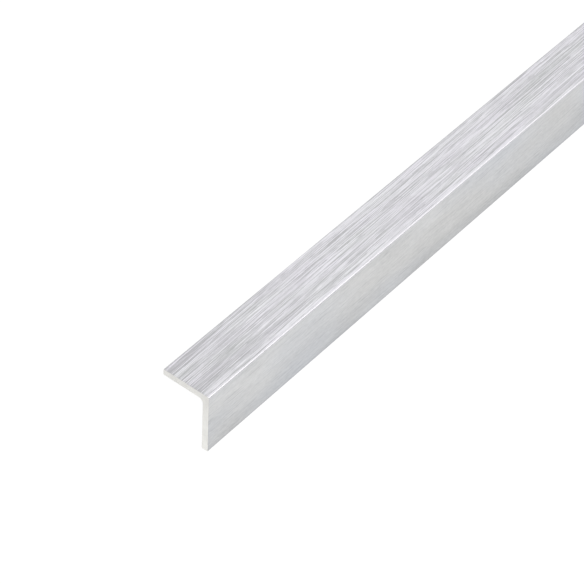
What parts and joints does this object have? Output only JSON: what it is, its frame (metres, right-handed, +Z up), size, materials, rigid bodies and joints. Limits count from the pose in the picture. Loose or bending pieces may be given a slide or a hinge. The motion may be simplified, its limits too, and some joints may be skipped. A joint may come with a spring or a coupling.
{
  "type": "metal angle section",
  "caption": "Straight bar of L-shaped aluminium section with one leg wider than the other, a rounded root and square sawn ends.",
  "frame": {"origin": "on the floor, under the middle of the bar's length and the middle of its width as it lies corner up", "axes": "+Y along the bar, +Z up; the short leg slopes down towards -X and the long leg towards +X, and the end seen in the picture is at -Y"},
  "size_m": [0.0248, 1, 0.0131],
  "materials": {
    "brushed_aluminium": "brushed along the length on the outside, plain extruded inside, matt sawn ends"
  },
  "bodies": {
    "root": {"angle_bar": "brushed_aluminium"}
  },
  "joints": []
}
